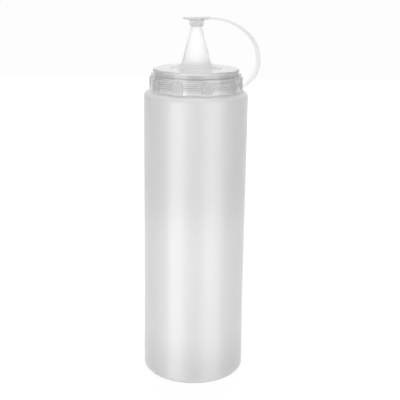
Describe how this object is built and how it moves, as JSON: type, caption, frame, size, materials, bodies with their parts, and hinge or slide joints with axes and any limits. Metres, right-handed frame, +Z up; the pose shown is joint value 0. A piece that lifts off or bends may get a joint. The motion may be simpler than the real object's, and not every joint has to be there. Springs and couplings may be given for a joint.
{
  "type": "squeeze bottle",
  "caption": "Translucent wide-mouth squeeze bottle with a screw lid, cone nozzle and a strapped tip cap, for sauces and dressings.",
  "frame": {"origin": "centre of the foot, on the plane that the bottle stands on", "axes": "+Z up the bottle's axis, +X towards the side that the strap bows out to"},
  "size_m": [0.0786, 0.0704, 0.2451],
  "materials": {
    "bottle_plastic": "milky, satin, lets light through",
    "lid_plastic": "frosted clear, glossy, grip pads matt",
    "tip_cap_plastic": "frosted clear, satin"
  },
  "bodies": {
    "root": {"bottle": "bottle_plastic", "lid": "lid_plastic", "tip_cap": "tip_cap_plastic"}
  },
  "joints": []
}
